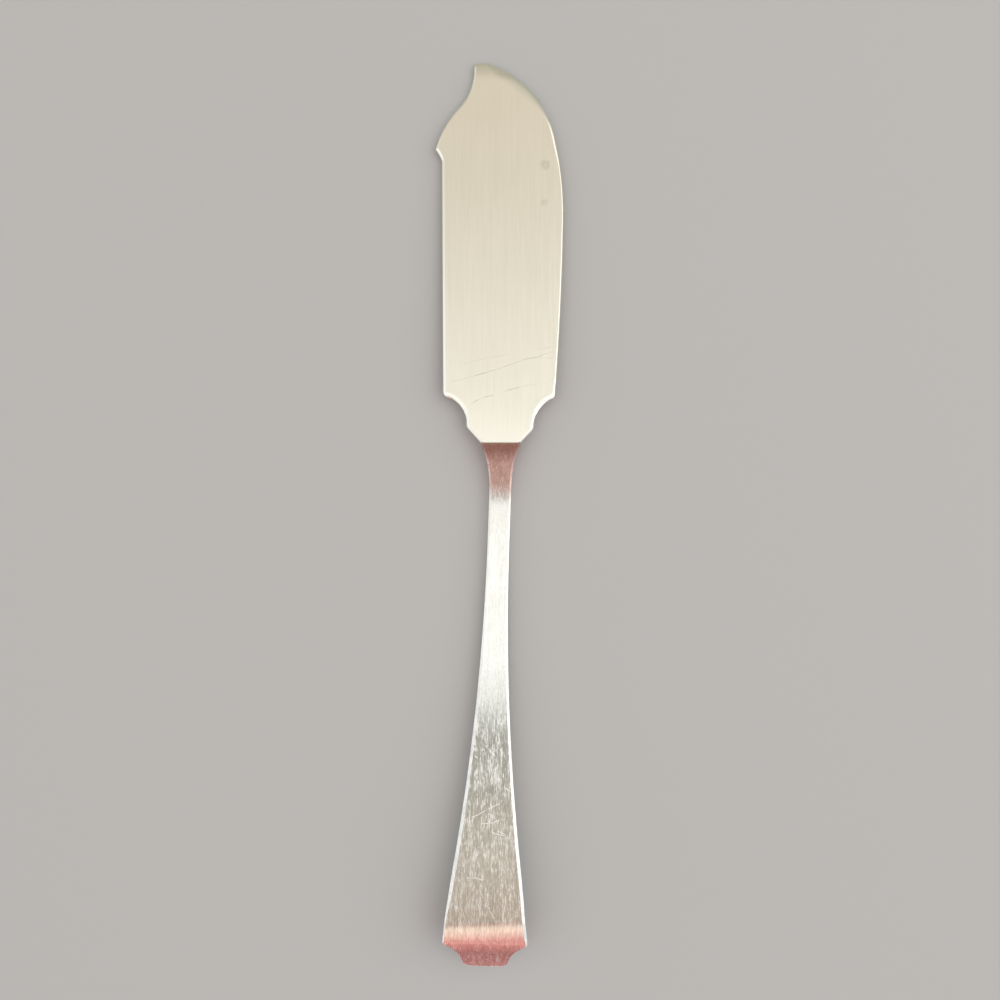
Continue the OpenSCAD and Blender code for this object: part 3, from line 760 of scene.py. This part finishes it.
def handle_finish():
    material, tree, shader, place = new_finish("brushed_silver_handle")
    turned = turned_by(tree, place, LEAN)
    slanted = turned_by(tree, place, -1)
    fine = use(tree, BRUSHING, Place=slanted, Width=0.24, Length=14.0)["Grooves"]
    broad = use(tree, BRUSHING, Place=turned, Width=0.45, Length=30.0)["Grooves"]
    lines = use(tree, BRUSHING, Place=turned, Width=0.26, Length=8.0)["Grooves"]
    grain = use(tree, BRUSHING, Place=turned, Width=0.3, Length=1.3)["Grooves"]
    haze = use(tree, HAZE, Place=place, Size=9.0)["Mask"]
    nicks = scratches(tree, SCRATCH, place, HANDLE_SCRATCHES, handle_spot, NICK_W)
    along = put(tree, "ShaderNodeSeparateXYZ", {0: place}).outputs[1]
    worn = toward_joint(tree, along, 47, 32, 1.0, 0.5)
    silver = mixed(tree, haze, BRIGHT, HAZED_BRIGHT)
    marks = sums(tree, "MULTIPLY", worn, smooth_range(tree, grain, 0.36, 0.58, 0.5, 0.0))
    silver = mixed(tree, marks, silver, GRAIN_GREY)
    marks = sums(tree, "MULTIPLY", worn, smooth_range(tree, lines, 0.38, 0.58, 0.52, 0.0))
    silver = mixed(tree, marks, silver, LINE_GREY)
    rubbed = use(tree, STAIN, Place=place, Centre=handle_spot(*RUBBED_SPOT), Radius=RUBBED_W)["Mask"]
    streak = scratches(tree, SCRATCH, place, [RUBBED_STREAK], handle_spot, RUBBED_W)
    rubbed = sums(tree, "MAXIMUM", rubbed, streak)
    rubbed = sums(tree, "MULTIPLY", rubbed, smooth_range(tree, grain, 0.2, 0.6, 0.3, 1.0))
    silver = mixed(tree, sums(tree, "MULTIPLY", rubbed, 0.36), silver, RUBBED_BRIGHT)
    # Painted shade: the neck is greyed by about half from the joint to 9.5 mm down, fading out by 15.5 mm,
    # standing in for the darker band the bar reflects there.
    painted_neck_shade = toward_joint(tree, along, 15.5, 9.5, 0.0, 0.48)
    silver = mixed(tree, painted_neck_shade, silver, NECK_SHADE_GREY)
    # Partly tarnish, partly painted reflection: the neck turns rose up to about 10 mm from the joint and dark
    # brown up to about 4 mm, standing in for the warm card and its darker band reflected there.
    tarnish_and_reflection = toward_joint(tree, along, 10, 6.2, 0.0, 0.9)
    tarnish_and_reflection = sums(tree, "MULTIPLY", tarnish_and_reflection, smooth_range(tree, lines, 0.35, 0.6, 0.75, 1.0))
    silver = mixed(tree, tarnish_and_reflection, silver, ROSE_TARNISH_AND_REFLECTION)
    tarnish_and_reflection = toward_joint(tree, along, 3.9, 0.6, 0.0, 0.95)
    silver = mixed(tree, tarnish_and_reflection, silver, BROWN_TARNISH_AND_REFLECTION)
    grime = sums(tree, "MULTIPLY_ADD", fine, 0.0005, along)
    grime = toward_joint(tree, grime, 0.1, -0.2, 0.0, 1.0)
    silver = mixed(tree, sums(tree, "MULTIPLY", grime, 0.6), silver, GRIME)
    silver = mixed(tree, sums(tree, "MULTIPLY", nicks, 0.6), silver, RUBBED_BRIGHT)
    tree.links.new(silver, shader.inputs["Base Color"])
    rough = smooth_range(tree, fine, 0.3, 0.7, 0.08, 0.15)
    rough = sums(tree, "ADD", smooth_range(tree, grain, 0.53, 0.66, 0.0, 0.17), rough)
    rough = sums(tree, "ADD", smooth_range(tree, lines, 0.52, 0.66, 0.0, 0.14), rough)
    rough = sums(tree, "MULTIPLY_ADD", nicks, 0.27, rough)
    rough = sums(tree, "MULTIPLY_ADD", rubbed, 0.06, rough)
    rough = sums(tree, "ADD", toward_joint(tree, along, 20, 10, 0.0, 0.1), rough)
    tree.links.new(rough, shader.inputs["Roughness"])
    height = sums(tree, "MULTIPLY_ADD", broad, 0.6, fine)
    height = sums(tree, "MULTIPLY_ADD", grain, 0.2, sums(tree, "MULTIPLY", height, 0.45))
    height = sums(tree, "MULTIPLY", height, toward_joint(tree, along, 35, 10, 1.0, 0.3))
    height = sums(tree, "MULTIPLY_ADD", nicks, -0.25, height)
    bump = put(tree, "ShaderNodeBump", {"Strength": 1.0, "Distance": 0.000022, "Height": height})
    tree.links.new(bump.outputs[0], shader.inputs["Normal"])
    shader.inputs["Anisotropic"].default_value = 0.95
    return material


def solder_finish():
    material, tree, shader, place = new_finish("tarnished_solder")
    grain = noise(tree, place, scale=3000.0, detail=3.0)
    dark = mixed(tree, smooth_range(tree, grain, 0.4, 0.62), SOLDER_DARK, SOLDER_PALE)
    tree.links.new(dark, shader.inputs["Base Color"])
    tree.links.new(smooth_range(tree, grain, 0.3, 0.7, 0.4, 0.6), shader.inputs["Roughness"])
    bump = put(tree, "ShaderNodeBump", {"Strength": 0.8, "Distance": 0.00003, "Height": grain})
    tree.links.new(bump.outputs[0], shader.inputs["Normal"])
    return material


make_blade(blade_finish())
make_handle(handle_finish())
make_solder_seam(solder_finish())


# Studio: a plain pale floor, a soft dome with a warm card beyond the handle's end, and one soft lamp

FLOOR_GREY = (0.507, 0.53, 0.54, 1)
LAMP_AT = (0.55, 0.15, 0.6)
CAMERA_AT = (0.0000912, 0.0017988, 0.167537)


def make_floor():
    bm = bmesh.new()
    bmesh.ops.create_grid(bm, x_segments=8, y_segments=8, size=3.0)
    mesh = bpy.data.meshes.new("pale_floor")
    bm.to_mesh(mesh)
    bm.free()
    floor = bpy.data.objects.new("pale_floor", mesh)
    bpy.context.scene.collection.objects.link(floor)
    material = bpy.data.materials.new("pale_floor")
    material.use_nodes = True
    shader = material.node_tree.nodes["Principled BSDF"]
    shader.inputs["Base Color"].default_value = FLOOR_GREY
    shader.inputs["Roughness"].default_value = 0.9
    shader.inputs["Specular IOR Level"].default_value = 0.1
    mesh.materials.append(material)


# Angles from straight up, toward the tip when positive, and the light of the dome there
DOME = [
    (-86, (0.7, 0.6, 0.56)),
    (-76, (0.6, 0.29, 0.28)),
    (-68, (0.57, 0.25, 0.24)),
    (-61, (0.48, 0.2, 0.19)),
    (-47, (0.92, 0.36, 0.33)),
    (-34, (1.19, 0.87, 0.74)),
    (-26, (1.06, 0.84, 0.7)),
    (-20, (0.76, 0.55, 0.47)),
    (-15, (0.6, 0.45, 0.39)),
    (-12.3, (0.59, 0.48, 0.41)),
    (-10.5, (0.67, 0.61, 0.52)),
    (-8, (0.51, 0.49, 0.43)),
    (-5.75, (0.38, 0.38, 0.34)),
    (-5.45, (1.25, 1.26, 1.24)),
    (5.5, (1.14, 1.13, 1.06)),
    (8, (0.89, 0.86, 0.76)),
    (22, (0.7, 0.65, 0.55)),
    (26, (0.74, 0.66, 0.55)),
    (60, (0.45, 0.43, 0.35)),
]
DOME_SPAN = 90
# Beside the bands, toward the floor, and beyond the tip
SIDE_LIGHT, FAR_SIDE_LIGHT = (1.06, 1.07, 1.09), (0.82, 0.79, 0.69)
LOW_LIGHT, TIP_LIGHT = (0.9, 0.9, 0.9), (0.46, 0.45, 0.37)


def make_dome():
    world = bpy.data.worlds.new("studio_dome")
    bpy.context.scene.world = world
    world.use_nodes = True
    tree = world.node_tree
    shade = tree.nodes["Background"]
    sky = tree.nodes.new("ShaderNodeTexCoord").outputs["Generated"]
    way = put(tree, "ShaderNodeSeparateXYZ", {0: sky}).outputs
    angle = sums(tree, "ARCTAN2", way[1], way[2])
    share = sums(tree, "MULTIPLY_ADD", angle, 1 / radians(2 * DOME_SPAN), 0.5)
    band = put(tree, "ShaderNodeValToRGB", {0: share})
    stops = band.color_ramp.elements
    while len(stops) < len(DOME):
        stops.new(0.5)
    for stop, (turn, colour) in zip(stops, DOME):
        stop.position = 0.5 + turn / (2 * DOME_SPAN)
        stop.color = (*colour, 1)
    card = smooth_range(tree, angle, radians(-10), radians(-14), 0.1, 0.35)
    side = smooth_range(tree, sums(tree, "ABSOLUTE", way[0]), card, sums(tree, "ADD", card, 0.25))
    far = smooth_range(tree, way[1], 0.18, 0.36)
    light = mixed(tree, side, band.outputs[0], mixed(tree, far, SIDE_LIGHT, FAR_SIDE_LIGHT))
    light = mixed(tree, smooth_range(tree, way[2], 0.2, 0.06), light, LOW_LIGHT)
    light = mixed(tree, smooth_range(tree, way[1], 0.44, 0.88), light, TIP_LIGHT)
    tree.links.new(light, shade.inputs["Color"])
    shade.inputs["Strength"].default_value = 1.0


def make_lamp():
    lamp = bpy.data.lights.new("soft_lamp", "AREA")
    lamp.shape = "DISK"
    lamp.size = 0.9
    lamp.energy = 1.3
    lamp.color = (1.0, 0.97, 0.92)
    stand = bpy.data.objects.new("soft_lamp", lamp)
    bpy.context.scene.collection.objects.link(stand)
    stand.location = LAMP_AT
    stand.rotation_euler = (-stand.location).to_track_quat("-Z", "Y").to_euler()


def make_camera():
    camera = bpy.data.cameras.new("above")
    camera.sensor_width = 36
    camera.lens = 36
    camera.clip_start = 0.01
    camera.clip_end = 20
    stand = bpy.data.objects.new("above", camera)
    bpy.context.scene.collection.objects.link(stand)
    stand.location = CAMERA_AT
    bpy.context.scene.camera = stand


make_floor()
make_dome()
make_lamp()
make_camera()
bpy.context.scene.view_settings.view_transform = "Standard"
